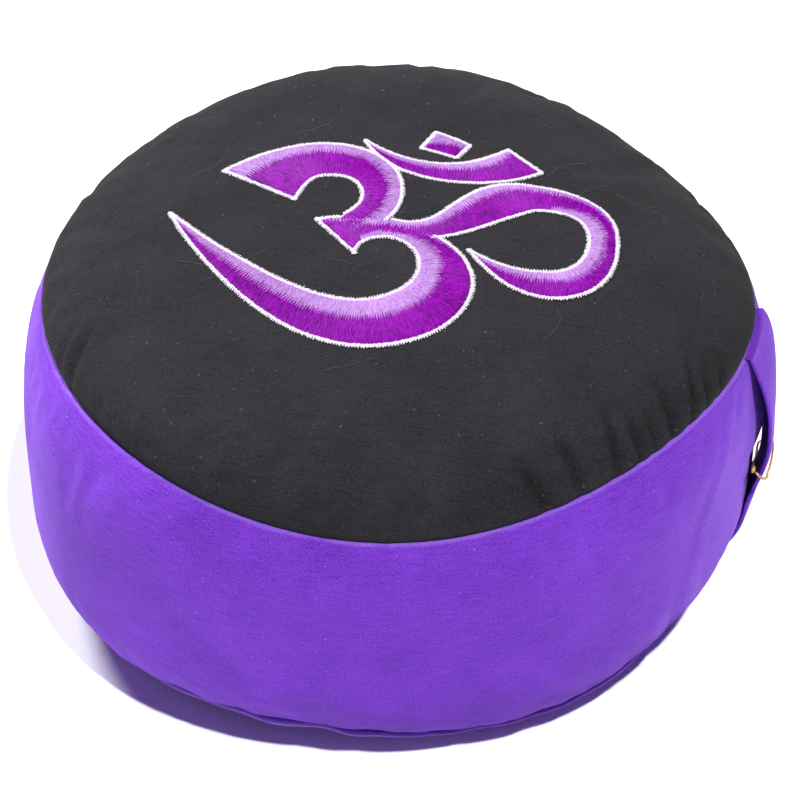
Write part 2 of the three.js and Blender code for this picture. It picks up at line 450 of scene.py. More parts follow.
def black_cotton():
    return cotton(
        "black_cotton",
        Finish.object_place,
        dark=colour(8, 7, 10),
        light=colour(41, 40, 44),
        fleck=colour(110, 106, 112),
        sheen=0.02,
        gloss=0.12,
    )


def purple_cotton(name, place_of):
    return cotton(
        name,
        place_of,
        dark=colour(82, 28, 150),
        light=colour(130, 62, 214),
        fleck=colour(182, 146, 245),
        sheen=0.42,
        gloss=0.2,
    )


def satin_thread(name, dark, light, sheen):
    """Shiny embroidery thread: each stitch has its own tone, with fine streaks."""
    finish = Finish(name)
    place = finish.object_place()
    streaks = finish.noise(place, 2.0, 2, 0.7)
    patch = finish.noise(place, 0.12)
    tone = finish.attribute("tone") * 0.7 + 0.15 + (streaks - 0.5) * 2.4 + (patch - 0.5) * 0.5
    base = finish.mixed(tone, dark, light)
    return finish.shade(
        Base_Color=base,
        Roughness=0.45 + (streaks - 0.5) * 0.2,
        Sheen_Weight=sheen,
        Sheen_Roughness=0.3,
        Specular_IOR_Level=0.08,
    )


def gold_thread():
    """Metallic thread: painted highlight along its strands, painted shade in the grooves between them.
    """
    finish = Finish("gold_thread")
    glints = finish.noise(finish.object_place(), 2.4, 2, 0.6)
    # the tone attribute is the painted strand highlight and groove shade, with glints
    tone = finish.attribute("tone") + (glints - 0.5) * 0.8
    base = finish.mixed(tone, colour(64, 30, 6), colour(255, 212, 120))
    return finish.shade(Base_Color=base, Roughness=0.34 + (glints - 0.5) * 0.2, Metallic=0.6)


def floor_paint():
    finish = Finish("pale_floor")
    cloudy = finish.noise(finish.object_place(), 0.01)
    base = finish.mixed(cloudy, colour(246, 246, 246), colour(250, 250, 250))
    return finish.shade(Base_Color=base, Roughness=0.9, Specular_IOR_Level=0.1)


# ---------------------------------------------------------------- the cushion's shape


def swell_at(waves, bearing):
    return sum(
        swell * math.cos(count * (bearing - math.radians(crest)))
        for count, swell, crest in waves
    )


class Profile:
    """The corners of the cushion's profile at one bearing, in radians."""

    def __init__(self, bearing):
        self.bearing = bearing
        self.top_radius = TOP_SEAM_RADIUS + swell_at(TOP_SEAM_OUT_OF_ROUND, bearing)
        self.top_height = TOP_SEAM_HEIGHT + swell_at(TOP_SEAM_RIPPLE, bearing)
        self.belly = BELLY_RADIUS + swell_at(BELLY_OUT_OF_ROUND, bearing)
        self.base_radius = BASE_SEAM_RADIUS * self.belly / BELLY_RADIUS
        self.base_height = BASE_SEAM_HEIGHT + swell_at(BASE_SEAM_RIPPLE, bearing)
        self.base_height += BASE_SEAM_SCALLOP * unevenness(bearing, 5.5, 15)

    def crown(self, angle):
        """The top panel, from its seam (0) to the middle (a quarter turn)."""
        share = max(math.cos(angle), 0) ** (2 / CROWN_FULLNESS)
        rim = TOP_SEAM_HEIGHT + (self.top_height - TOP_SEAM_HEIGHT) * share * share
        return Vector((self.top_radius * share, rim + CROWN_RISE * math.sin(angle)))

    def band(self, lean):
        """The side band, from the base seam (-90 degrees) to the top seam (90 degrees)."""
        share = math.sin(lean)
        if share >= 0:
            out = self.belly - (self.belly - self.top_radius) * share ** SHOULDER_FULLNESS
            return Vector((out, BELLY_HEIGHT + (self.top_height - BELLY_HEIGHT) * share))
        out = self.belly - (self.belly - self.base_radius) * (-share) ** TUCK_FULLNESS
        return Vector((out, BELLY_HEIGHT + (BELLY_HEIGHT - self.base_height) * share))

    def base(self, angle):
        """The base panel, from its seam (0) to the edge of the flat foot (a quarter turn)."""
        share = max(math.cos(angle), 0) ** 2
        out = FOOT_RADIUS + (self.base_radius - FOOT_RADIUS) * share
        return Vector((out, self.base_height * (1 - math.sin(angle))))


def off_line(line, angle, distance):
    """A point of a line moved off it, square to it: to its left as the angle grows."""
    nudge = 1e-4
    along = (line(angle + nudge) - line(angle - nudge)).normalized()
    return line(angle) + Vector((-along.y, along.x)) * distance


def round_axis(place, bearing):
    """A point of the profile, distance from the axis and height, at its bearing."""
    return Vector((place.x * math.cos(bearing), place.x * math.sin(bearing), place.y))


def bell(distance, width):
    return math.exp(-(distance / width) ** 2)


def turn_between(bearing, other):
    return math.atan2(math.sin(bearing - other), math.cos(bearing - other))


def from_handle(bearing):
    """How far round the belly a bearing is from the handle's middle."""
    return abs(turn_between(bearing, 0)) * BELLY_RADIUS


def unevenness(bearing, row, scale):
    """Smooth noise round the cushion, about -1 to 1, that closes on itself."""
    spread = BELLY_RADIUS / scale
    return noise.noise(Vector((math.cos(bearing) * spread, math.sin(bearing) * spread, row)))


def pucker(bearing, distance):
    """The fine unevenness beside a seam at a distance from it."""
    ripple = unevenness(bearing, 3.1, 7) * 0.6 + unevenness(bearing, 8.7, 3.4) * 0.4
    return PUCKER_DEPTH * ripple * bell(distance, PUCKER_REACH)


def smooth_between(low, high, value):
    """From 0 at low to 1 at high."""
    share = min(max((value - low) / (high - low), 0), 1)
    return share * share * (3 - 2 * share)


def eased(rows, at, column):
    """A column of a table at a place between its rows, smoothly. The first column is the place."""
    places = [row[0] for row in rows]
    if at <= places[0]:
        return rows[0][column]
    if at >= places[-1]:
        return rows[-1][column]
    upper = next(index for index, place in enumerate(places) if place > at)

    def slope(index):
        before = rows[max(index - 1, 0)]
        after = rows[min(index + 1, len(rows) - 1)]
        return (after[column] - before[column]) / (after[0] - before[0])

    low, high = rows[upper - 1], rows[upper]
    span = high[0] - low[0]
    t = (at - low[0]) / span
    return ((1 + 2 * t) * (1 - t) ** 2 * low[column] + t * (1 - t) ** 2 * span * slope(upper - 1)
            + t * t * (3 - 2 * t) * high[column] + t * t * (t - 1) * span * slope(upper))


def gather_depth(profile, in_from_seam):
    """How deep the gathers press into the top panel."""
    depth = 0
    for at, deep, width, reach, lean in GATHERS:
        along = in_from_seam / reach
        if along >= 1:
            continue
        centre = math.radians(at + lean * along)
        across = turn_between(profile.bearing, centre) * (profile.top_radius - in_from_seam * 0.7)
        fade = math.cos(along * math.pi / 2) ** 1.3
        fade *= 0.12 + 0.88 * smooth_between(0, GATHER_ROOT, in_from_seam)
        ridge = bell(abs(across) - width * 0.8, width * 0.4)
        depth += deep * fade * (bell(across, width * 0.42) - GATHER_RIDGE * ridge)
    return depth


def fold_height(bearing, height):
    """How far the side band's folds stand out."""
    rise = 0
    for top_at, top_height, low_at, low_height, ridge, width in BAND_FOLDS:
        share = (top_height - height) / (top_height - low_height)
        if not -0.15 < share < 1.15:
            continue
        centre = math.radians(top_at + (low_at - top_at) * share)
        across = turn_between(bearing, centre) * BELLY_RADIUS
        fade = math.sin(math.pi * min(max((share + 0.15) / 1.3, 0), 1)) ** 0.8
        rise += ridge * fade * bell(across, width)
    return rise


def wall_swell(bearing, height):
    """The wall stands out a little behind the handle, above the cord."""
    upright = smooth_between(*WALL_SWELL_STARTS, height)
    upright *= 1 - smooth_between(*WALL_SWELL_ENDS, height)
    return WALL_SWELL * upright * bell(from_handle(bearing), WALL_SWELL_WIDTH)


class Creases:
    """How far the simulated cloth rises off the smooth form, at any place near the form."""

    def __init__(self, corners, faces, rises):
        self.corners = corners
        self.faces = faces
        self.rises = rises
        self.tree = BVHTree.FromPolygons(corners, faces) if faces else None

    def at(self, profile, place):
        if not self.tree:
            return 0
        bearing = profile.bearing
        near, normal, index, gap = self.tree.find_nearest(round_axis(place, bearing))
        face = self.faces[index]
        weights = poly_3d_calc([self.corners[corner] for corner in face], near)
        rise = sum(weight * self.rises[corner] for weight, corner in zip(weights, face))
        rise *= smooth_between(*CREASES_BESIDE_HANDLE, from_handle(bearing))
        from_seam = (place - Vector((profile.top_radius, profile.top_height))).length
        return rise * smooth_between(*CREASES_FROM_SEAM, from_seam)


def crown_row(angle, creases):
    """A row of the top panel's face: the dome, tucked in at the seam, with its gathers."""
    def place(profile):
        here = profile.crown(angle)
        in_from_seam = profile.top_radius - here.x + CROWN_RISE * math.sin(angle) * 0.5
        tuck = SEAM_TUCK * bell(in_from_seam, SEAM_TUCK_REACH)
        slack = CROWN_SLACK * unevenness(profile.bearing, here.x / 40, 60) * math.sin(angle)
        press = gather_depth(profile, in_from_seam) - pucker(profile.bearing, in_from_seam)
        return off_line(profile.crown, angle, tuck + press - slack - creases.at(profile, here))
    return place


def band_row(lean, creases):
    """A row of the side band's face, tucked in at both seams, with its folds."""
    def place(profile):
        here = profile.band(lean)
        from_top = profile.top_height - here.y
        from_base = here.y - profile.base_height
        tuck = BAND_TUCK * bell(from_top, BAND_TUCK_REACH)
        tuck += SEAM_TUCK * bell(from_base, SEAM_TUCK_REACH * 0.7)
        ripple = pucker(profile.bearing, from_top) - pucker(profile.bearing + 1, from_base)
        slack = BAND_SLACK * unevenness(profile.bearing, here.y / 50, 70) * math.cos(lean)
        slack *= smooth_between(*SLACK_BESIDE_HANDLE, from_handle(profile.bearing))
        swell = fold_height(profile.bearing, here.y) + wall_swell(profile.bearing, here.y)
        return off_line(profile.band, lean, tuck - swell - ripple - slack - creases.at(profile, here))
    return place


def base_row(angle):
    """A row of the base panel's face: it tucks in at its seam, then rolls out a little."""
    def place(profile):
        here = profile.base(angle)
        from_seam = profile.base_height - here.y
        tuck = SEAM_TUCK * bell(from_seam, SEAM_TUCK_REACH * 0.5)
        lip = BASE_LIP * (1 + unevenness(profile.bearing, 2.2, 22))
        lip *= bell(from_seam - BASE_LIP_BELOW, 2.8)
        return here + Vector((lip - tuck, 0))
    return place


def on_axis(up):
    return lambda profile: Vector((0, up))


def plain_row(line, angle):
    """A row of the smooth form, on one of the three lines of its profile."""
    return lambda profile: line(profile, angle)


def row_under(line, angle, depth):
    """A row inside the smooth form. The base line runs the other way, so its depth is negative."""
    return lambda profile: off_line(lambda at: line(profile, at), angle, depth)


def spread_angles(first, last, rows):
    return [math.radians(first + (last - first) * row / (rows - 1)) for row in range(rows)]


def turned_cloth(rows, closed_low, closed_high, steps=STEPS_ROUND):
    """A skin through rows round the axis, lowest first. A closed end is a point on the axis.
    An upright chain of points is spun round the axis, and each row is then moved into place."""
    skin = bmesh.new()
    last = len(rows) - 1
    chain = []
    for index in range(len(rows)):
        closed = (index == 0 and closed_low) or (index == last and closed_high)
        chain.append(skin.verts.new((0 if closed else 1, 0, index)))
    edges = [skin.edges.new(pair) for pair in zip(chain, chain[1:])]
    bmesh.ops.spin(skin, geom=chain + edges, cent=(0, 0, 0), axis=(0, 0, 1), angle=2 * math.pi,
                   steps=steps, use_merge=True)
    bmesh.ops.remove_doubles(skin, verts=skin.verts, dist=1e-4)
    profiles = {}
    for vert in skin.verts:
        bearing = math.atan2(vert.co.y, vert.co.x)
        key = round(bearing, 5)
        if key not in profiles:
            profiles[key] = Profile(bearing)
        place = rows[round(vert.co.z)](profiles[key])
        vert.co = round_axis(place, bearing)
    bmesh.ops.recalc_face_normals(skin, faces=skin.faces)
    return skin


def fill_with_pressure():
    """The cushion's closed skin, pressed out by its fill in a cloth simulation with the seams
    and the foot held. The evenly round part of what moves is left out: the outline is known."""
    rows = [on_axis(0), lambda profile: Vector((FOOT_RADIUS, 0))]
    rows += [plain_row(Profile.base, angle) for angle in reversed(spread_angles(0, 80, 8))]
    rows += [plain_row(Profile.band, lean) for lean in spread_angles(-LAST_LEAN, LAST_LEAN, 30)]
    rows += [plain_row(Profile.crown, angle) for angle in spread_angles(0, 88, 34)]
    rows += [on_axis(TOP_SEAM_HEIGHT + CROWN_RISE)]
    form = finish_mesh(turned_cloth(rows, True, True, FORM_STEPS_ROUND), "fill_form", None)
    form.data.remesh_voxel_size = FORM_VOXEL * MM
    bpy.context.view_layer.objects.active = form
    bpy.ops.object.voxel_remesh()
    corners = [vert.co / MM for vert in form.data.vertices]
    normals = [vert.normal.copy() for vert in form.data.vertices]
    faces = [tuple(face.vertices) for face in form.data.polygons]
    held = form.vertex_groups.new(name="held")
    held.add([index for index, corner in enumerate(corners) if is_held(corner)], 1, "REPLACE")
    press_out(form)
    moved = form.evaluated_get(bpy.context.evaluated_depsgraph_get()).data.vertices
    rises = [(vert.co / MM - corner).dot(normal)
             for vert, corner, normal in zip(moved, corners, normals)]
    bpy.data.objects.remove(form)
    bpy.context.scene.frame_set(1)
    rises = without_even_swell(corners, rises)
    rises = [min(max(rise * CREASE_SHARE, -CREASE_CAP), CREASE_CAP) for rise in rises]
    return Creases(corners, faces, rises)


def is_held(corner):
    """Whether a place of the form is on its foot or beside a seam."""
    profile = Profile(math.atan2(corner.y, corner.x))
    out = math.hypot(corner.x, corner.y)
    to_top = math.hypot(out - profile.top_radius, corner.z - profile.top_height)
    to_base = math.hypot(out - profile.base_radius, corner.z - profile.base_height)
    return min(to_top, to_base) < FORM_HELD or corner.z < FORM_FOOT


def press_out(form):
    cloth = form.modifiers.new("fill", "CLOTH")
    settings = cloth.settings
    settings.quality = 6
    settings.mass = 0.25
    settings.tension_stiffness = 18
    settings.compression_stiffness = 18
    settings.shear_stiffness = 8
    settings.bending_stiffness = 0.35
    settings.use_pressure = True
    settings.uniform_pressure_force = FORM_PRESSURE
    settings.shrink_min = -FORM_SLACK
    settings.effector_weights.gravity = 0
    settings.vertex_group_mass = "held"
    cloth.point_cache.frame_start = 1
    cloth.point_cache.frame_end = FORM_FRAMES
    for frame_number in range(1, FORM_FRAMES + 1):
        bpy.context.scene.frame_set(frame_number)


def without_even_swell(corners, rises):
    """The rises less their mean at each height of the wall, or each radius of the crown. The
    means are taken over steps of 7 mm on the crown (region 0) and 6 mm on the wall (region 1)."""
    def spot(corner):
        out = math.hypot(corner.x, corner.y)
        on_crown = corner.z > TOP_SEAM_HEIGHT and out < TOP_SEAM_RADIUS - 3
        return (0, out) if on_crown else (1, corner.z)

    means = []
    for region, step in ((0, 7), (1, 6)):
        bins = {}
        for corner, rise in zip(corners, rises):
            where, at = spot(corner)
            if where == region:
                bins.setdefault(int(at / step), []).append((at, rise))
        means.append([(sum(at for at, rise in group) / len(group),
                       sum(rise for at, rise in group) / len(group))
                      for key, group in sorted(bins.items())])
    places = [spot(corner) for corner in corners]
    return [rise - eased(means[where], at, 1) for rise, (where, at) in zip(rises, places)]


def mark_painted_seam_light(skin):
    """How pale each corner is: a painted highlight along the band's top edge at the top seam, and
    painted light on the base panel's lip under the base seam.
    """
    layer = skin.verts.layers.float.new("edge")
    for vert in skin.verts:
        profile = Profile(math.atan2(vert.co.y, vert.co.x))
        at_top = bell(profile.top_height - vert.co.z - 0.5, 0.4)
        at_base = bell(profile.base_height - vert.co.z - 3.0, 2.4)
        at_base *= vert.co.z < profile.base_height
        vert[layer] = TOP_SEAM_PAINTED_HIGHLIGHT * at_top + BASE_LIP_PAINTED_LIGHT * at_base


def mark_crown_fade_and_fold_shade(skin):
    """How pale each corner is: the top panel is faded a little, but not in its gathers, which keeps a
    painted shade in the gathers.
    """
    layer = skin.verts.layers.float.new("edge")
    for vert in skin.verts:
        profile = Profile(math.atan2(vert.co.y, vert.co.x))
        rise = max(vert.co.z - profile.top_height, 0)
        in_from_seam = profile.top_radius - math.hypot(vert.co.x, vert.co.y) + rise * 0.5
        fold_shade = smooth_between(0, 1.6, gather_depth(profile, in_from_seam))
        vert[layer] = CROWN_FADE_AND_FOLD_SHADE * (1 - fold_shade)


def lay_cloth_map(skin):
    """A UV map in millimetres: how far round the belly, and the height."""
    layer = skin.loops.layers.uv.new("cloth")
    for face in skin.faces:
        middle = face.calc_center_median()
        facing = math.atan2(middle.y, middle.x)
        for loop in face.loops:
            place = loop.vert.co
            bearing = facing + turn_between(math.atan2(place.y, place.x), facing)
            loop[layer].uv = (bearing * BELLY_RADIUS, place.z)


def finish_mesh(shape, name, material):
    """A bmesh in millimetres as an object in metres."""
    bmesh.ops.scale(shape, vec=(MM, MM, MM), verts=shape.verts)
    for face in shape.faces:
        face.smooth = True
    mesh = bpy.data.meshes.new(name)
    shape.to_mesh(mesh)
    shape.free()
    piece = bpy.data.objects.new(name, mesh)
    if material:
        mesh.materials.append(material)
    bpy.context.scene.collection.objects.link(piece)
    return piece


def add_thickness(panel):
    """Thickness inwards from a panel's face."""
    shell = panel.modifiers.new("cloth", "SOLIDIFY")
    shell.thickness = PANEL_THICKNESS * MM
    shell.offset = -1
    shell.use_even_offset = True


def make_side_band(cloth, creases):
    """The band with its fill: one closed form whose top and foot lie under the panels."""
    under = PANEL_THICKNESS + SEAM_GAP
    rows = [on_axis(under), lambda profile: Vector((FOOT_RADIUS, under))]
    rows += [row_under(Profile.base, angle, -under) for angle in (0.9, 0.45, 0.15)]
    rows += [band_row(lean, creases) for lean in spread_angles(-LAST_LEAN, LAST_LEAN, BAND_ROWS)]
    rows += [row_under(Profile.crown, angle, under + GATHER_ROOM) for angle in spread_angles(3, 84, 12)]
    rows += [on_axis(TOP_SEAM_HEIGHT + CROWN_RISE - under - GATHER_ROOM)]
    skin = turned_cloth(rows, True, True)
    lay_cloth_map(skin)
    mark_painted_seam_light(skin)
    surface = BVHTree.FromBMesh(skin)
    band = finish_mesh(skin, "side_band", cloth)
    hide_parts("filled_body")
    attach(band, ROOT)
    return surface


def make_top_panel(cloth, creases):
    rows = [crown_row(angle, creases) for angle in spread_angles(0, 89, CROWN_ROWS)]
    rows += [on_axis(TOP_SEAM_HEIGHT + CROWN_RISE)]
    skin = turned_cloth(rows, False, True)
    mark_crown_fade_and_fold_shade(skin)
    surface = BVHTree.FromBMesh(skin)
    panel = finish_mesh(skin, "black_panel", cloth)
    add_thickness(panel)
    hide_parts("top_panel")
    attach(panel, ROOT)
    return surface


def make_base_panel(cloth):
    rows = [on_axis(0), lambda profile: Vector((FOOT_RADIUS, 0))]
    rows += [base_row(angle) for angle in reversed(spread_angles(0, 70, BASE_ROWS))]
    skin = turned_cloth(rows, True, False)
    mark_painted_seam_light(skin)
    panel = finish_mesh(skin, "base_panel", cloth)
    add_thickness(panel)
    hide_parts("bottom_panel")
    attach(panel, ROOT)


# ---------------------------------------------------------------- the carry handle


def handle_place(share, side, out):
    """A point of the handle: share of its length, distance from its middle, and how far out
    from its inner face."""
    lean = math.radians(HANDLE_ENDS[0] + (HANDLE_ENDS[1] - HANDLE_ENDS[0]) * share)
    profile = Profile(side / BELLY_RADIUS)
    height = profile.band(lean).y
    front = eased(HANDLE_STAND_OFF, height, 1)
    rear = eased(HANDLE_STAND_OFF, height, 2)
    stand_off = front + (rear - front) * (side / HANDLE_WIDTH + 0.5) + out
    cup = HANDLE_CUP * smooth_between(*HANDLE_CUP_STARTS, height)
    cup *= 1 - HANDLE_CUP_EASED_BY * smooth_between(*HANDLE_CUP_EASES, height)
    cup *= 1 - smooth_between(*HANDLE_CUP_ENDS, height)
    stand_off += cup * (1 - (2 * side / HANDLE_WIDTH) ** 2)
    tuck = HANDLE_END_TUCK * (bell(share, 0.02) + bell(1 - share, 0.02))
    lean = min(lean, math.radians(HANDLE_LAST_LEAN))
    place = off_line(profile.band, lean, tuck - stand_off)
    return round_axis(place, profile.bearing)


def handle_outline():
    """Places round the handle's section, a flat bar with round edges: distance from its middle,
    and how far out from its inner face."""
    edge = HANDLE_THICKNESS / 2
    half = HANDLE_WIDTH / 2 - edge
    flat = [half * (1 - step / 9) for step in range(19)]
    arc = [math.radians(30 * step) for step in range(1, 6)]
    outline = [(side, HANDLE_THICKNESS) for side in flat]
    outline += [(-half - edge * math.sin(turn), edge + edge * math.cos(turn)) for turn in arc]
    outline += [(-side, 0) for side in flat]
    outline += [(half + edge * math.sin(turn), edge - edge * math.cos(turn)) for turn in arc]
    return outline + outline[:1]


def make_handle(cloth):
    """A folded strap laid along the band: its section, carried along its length."""
    outline = handle_outline()
    around = [0]
    for before, after in zip(outline, outline[1:]):
        around.append(around[-1] + math.dist(before, after))
    steps = len(outline) - 1
    strap = bmesh.new()
    bmesh.ops.create_grid(strap, x_segments=steps, y_segments=HANDLE_STEPS, size=0.5)
    layer = strap.loops.layers.uv.new("cloth")
    for face in strap.faces:
        for loop in face.loops:
            station = round((loop.vert.co.x + 0.5) * steps)
            loop[layer].uv = (around[station], (loop.vert.co.y + 0.5) * HANDLE_LENGTH)
    for vert in strap.verts:
        side, out = outline[round((vert.co.x + 0.5) * steps)]
        vert.co = handle_place(vert.co.y + 0.5, side, out)
    bmesh.ops.remove_doubles(strap, verts=strap.verts, dist=0.01)
    bmesh.ops.holes_fill(strap, edges=strap.edges, sides=0)
    bmesh.ops.recalc_face_normals(strap, faces=strap.faces)
    handle = finish_mesh(strap, "handle_strap", cloth)
    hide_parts("carry_handle")
    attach(handle, ROOT)


# ---------------------------------------------------------------- the gold cord


def spline_point(points, at):
    """A point on the smooth line through a list of points: at counts along the list."""
    index = min(int(at), len(points) - 2)
    t = at - index
    p0, p1, p2, p3 = (points[min(max(index + k, 0), len(points) - 1)] for k in (-1, 0, 1, 2))
    return 0.5 * (2 * p1 + (p2 - p0) * t + (2 * p0 - 5 * p1 + 4 * p2 - p3) * t * t
                  + (3 * p1 - p0 - 3 * p2 + p3) * t ** 3)


def even_route(points):
    """A smooth route through points, as places a short pitch apart."""
    samples = 40
    dense = [spline_point(points, step / samples) for step in range((len(points) - 1) * samples + 1)]
    route = [dense[0]]
    for place in dense[1:]:
        if (place - route[-1]).length >= CORD_PITCH:
            route.append(place)
    return route


def twisted_tube(route, diameter):
    """A tube along a route, grooved like thread twisted from a few strands, with a tone of painted
    highlight on the strands and painted shade in the grooves.
    """
    around = CORD_STRANDS * 5
    tube = bmesh.new()
    bmesh.ops.create_grid(tube, x_segments=around, y_segments=len(route) - 1, size=0.5)
    sides = []
    side = Vector((0, 0, 1))
    for index, place in enumerate(route):
        along = (route[min(index + 1, len(route) - 1)] - route[max(index - 1, 0)]).normalized()
        side = (side - along * side.dot(along)).normalized()
        sides.append((side, along.cross(side)))
    step = (route[1] - route[0]).length
    tone = tube.verts.layers.float.new("tone")
    for vert in tube.verts:
        index = round((vert.co.y + 0.5) * (len(route) - 1))
        turn = (vert.co.x + 0.5) * 2 * math.pi
        twist = turn - index * step / CORD_TWIST * 2 * math.pi
        lobe = abs(math.cos(twist * CORD_STRANDS / 2))
        first, second = sides[index]
        reach = diameter / 2 * (1 - CORD_GROOVE + CORD_GROOVE * lobe)
        # painted light: the tone is pale on the strands and dark in the grooves
        vert[tone] = lobe
        vert.co = route[index] + (first * math.cos(turn) + second * math.sin(turn)) * reach
    bmesh.ops.remove_doubles(tube, verts=tube.verts, dist=0.01)
    bmesh.ops.holes_fill(tube, edges=tube.edges, sides=0)
    bmesh.ops.recalc_face_normals(tube, faces=tube.faces)
    return tube


def make_cord(gold):
    """The thin gold cord, tied round the handle, and its knot, a thread in an overhand knot."""
    loops = []
    for step in range(KNOT_STEPS + 1):
        turn = 2 * math.pi * step / KNOT_STEPS
        loops.append(Vector(KNOT_PLACE) + Vector((
            -0.45 * math.sin(3 * turn),
            0.42 * (math.sin(turn) + 2 * math.sin(2 * turn)),
            0.42 * (math.cos(turn) - 2 * math.cos(2 * turn)),
        )) * KNOT_DIAMETER / 4)
    turns = twisted_tube(even_route(loops), CORD_DIAMETER * KNOT_THREAD)
    knot = finish_mesh(turns, "thread_knot", gold)
    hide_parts("cord_knot")
    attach(knot, ROOT)
    route = even_route([Vector(point) for point in CORD_ROUTE])
    tube = twisted_tube(route, CORD_DIAMETER)
    cord = finish_mesh(tube, "gold_thread_loop", gold)
    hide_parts("gold_cord")
    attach(cord, ROOT)
    length = sum((b - a).length for a, b in zip(route, route[1:]))
    route[0] * MM
    [place * MM for place in route]


# ---------------------------------------------------------------- threads on the cloth

ABOVE_CUSHION = 300          # where the rays that find the cloth start
BESIDE_CUSHION = 250


def lay_threads(name, paths, thickness, material):
    """Threads along equally long paths in millimetres, as one mesh object in metres. Each has
    a tone of its own."""
    curve = bpy.data.curves.new(name, "CURVE")
    curve.dimensions = "3D"
    curve.bevel_depth = thickness / 2 * MM
    curve.bevel_resolution = 0
    for path in paths:
        spline = curve.splines.new("POLY")
        spline.points.add(len(path) - 1)
        for point, place in zip(spline.points, path):
            point.co = (place.x * MM, place.y * MM, place.z * MM, 1)
    curve.materials.append(material)
    tubes = bpy.data.objects.new("thread_tubes", curve)
    bpy.context.scene.collection.objects.link(tubes)
    evaluated = tubes.evaluated_get(bpy.context.evaluated_depsgraph_get())
    mesh = bpy.data.meshes.new_from_object(evaluated)
    bpy.data.objects.remove(tubes)
    piece = bpy.data.objects.new(name, mesh)
    bpy.context.scene.collection.objects.link(piece)
    chance = random.Random(11)
    faces_each = len(mesh.polygons) // len(paths)
    tones = [chance.random() for path in paths for face in range(faces_each)]
    mesh.attributes.new("tone", "FLOAT", "FACE").data.foreach_set("value", tones)
    return piece


def laid_on(surface, flat, lift):
    """A flat point, given square to the view, laid on the top panel and lifted off it."""
    above = turned_to_view(flat.x, flat.y, ABOVE_CUSHION)
    place, normal, index, gap = surface.ray_cast(above, Vector((0, 0, -1)))
    return place + normal * lift


def laid_on_band(band, bearing, height, lift):
    """A point at a bearing in degrees and a height, laid on the side band and lifted off it."""
    turn = math.radians(bearing)
    inward = Vector((-math.cos(turn), -math.sin(turn), 0))
    start = Vector((0, 0, height)) - inward * BESIDE_CUSHION
    place, normal, index, gap = band.ray_cast(start, inward)
    return place - inward * lift


# ---------------------------------------------------------------- the embroidery

THREAD = 0.64                # the thickness of the thread
STITCH_PITCH = 0.5           # from stitch to stitch of the fill
STITCH_DIP = 0.4             # how far a stitch's ends sink in
STITCH_OVERLAP = 0.3         # how far stitches that lie end to end run past each other, each
SHORTEST_STITCH = 0.6
LONGEST_STITCH = 7
TOOTH = 3.2                  # how far long stitches pass short ones where colours meet
TOOTH_SHARES = (1, 0, 0.4)   # how much of that three stitches in a row take
FILL_LIFT = 0.2              # how far the fill lies off the cloth at a stroke's edges
PAD_RISE = 0.7               # and how far the padding lifts it more along a wide stroke's middle
EDGE_WIDTH = 1.35            # width of the white border
EDGE_PITCH = STITCH_PITCH * 1.25
EDGE_JAG = 0.6               # how far every second stitch of it stands out
EDGE_LIFT = 0.5
CUSP_LIFT = 0.6

# Each stroke of the sign is the path of a pen, in curves joined at their knots, square to the
# view: a knot, two handles, the next knot and so on. Each row gives x, y and width, and the
# share of the width that is light thread on the outer side and on the inner side.
UPPER_BOWL = [
    (-60, 31, 42, 0.33, 0),
    (-52, 41, 34, 0.30, 0),
    (-44, 48, 29, 0.30, 0),
    (-33, 48, 26, 0.32, 0),
    (-17, 48, 23, 0.34, 0),
    (-6, 38, 20, 0.34, 0),
    (-6, 22, 18, 0.38, 0),
    (-6, 12, 17, 0.42, 0),
    (-12, 4, 17, 0.44, 0),
    (-21, -1, 15, 0.40, 0),
]
LOWER_BOWL = [
    (-26, -8, 30, 0, 0),
    (-6, 6, -2, 0.80, 0),
    (20, -10, 14, 0, 0.55),
    (20, -34, 24, 0, 0.32),
    (20, -50, 30, 0, 0.31),
    (4, -62, 29, 0, 0.33),
    (-14, -62, 27, 0, 0.33),
    (-44, -62, 24, 0, 0.33),
    (-78, -20, 12, 0, 0.25),
    (-98, 17, 0.6, 0, 0.3),
]
TAIL = [
    (-4, -2, 12, 0.40, 0),
    (26, -14, 8, 0.38, 0),
    (34, 22, 34, 0.27, 0),
    (60, 22, 19, 0.26, 0),
    (78, 22, 17, 0.30, 0.02),
    (88, 14, 15, 0.12, 0.36),
    (88, -2, 13, 0.05, 0.40),
    (88, -22, 12, 0, 0.36),
    (80, -38, 18, 0, 0.26),
    (63, -38, 17, 0, 0.24),
    (50, -38, 15, 0, 0.23),
    (40, -30, 6, 0, 0.25),
    (30, -17, 0.6, 0, 0.4),
]
CRESCENT = [
    (-14, 63, 0.6, 0.4, 0),
    (-4, 46, 9, 0.38, 0),
    (8, 38, 11, 0.41, 0),
    (24, 38, 14, 0.41, 0),
    (38, 38, 17, 0.41, 0),
    (48, 43, 22, 0.40, 0),
    (57, 51, 22, 0.12, 0),
]
DROP = [
    (14, 63, 16, 0.72, 0),
    (20, 60, 15, 0.58, 0),
    (25, 57, 14, 0.44, 0),
    (30, 54, 13, 0.30, 0),
]
CURVE_SAMPLES = 80

# The strokes: between which counts of its curves each edge has its white border, which ends
# have one, and how far a stroke lies above what it crosses.
STROKES = [
    {"rows": UPPER_BOWL, "outer": (0, 2.56), "inner": (0, 2.9), "ends": (True, False), "lift": 0},
    {"rows": LOWER_BOWL, "outer": (0.62, 3), "inner": (0, 3), "ends": (True, False), "lift": 0.08},
    {"rows": TAIL, "outer": (0, 4), "inner": (0.22, 4), "ends": (False, False), "lift": 0.16},
    {"rows": CRESCENT, "outer": (0, 2), "inner": (0, 2), "ends": (False, True), "lift": 0},
    {"rows": DROP, "outer": (0, 1), "inner": (0, 1), "ends": (True, True), "lift": 0.12},
]
CUSP_PART = (0, 0.11)        # the part of the lower bowl's outer edge that has a border


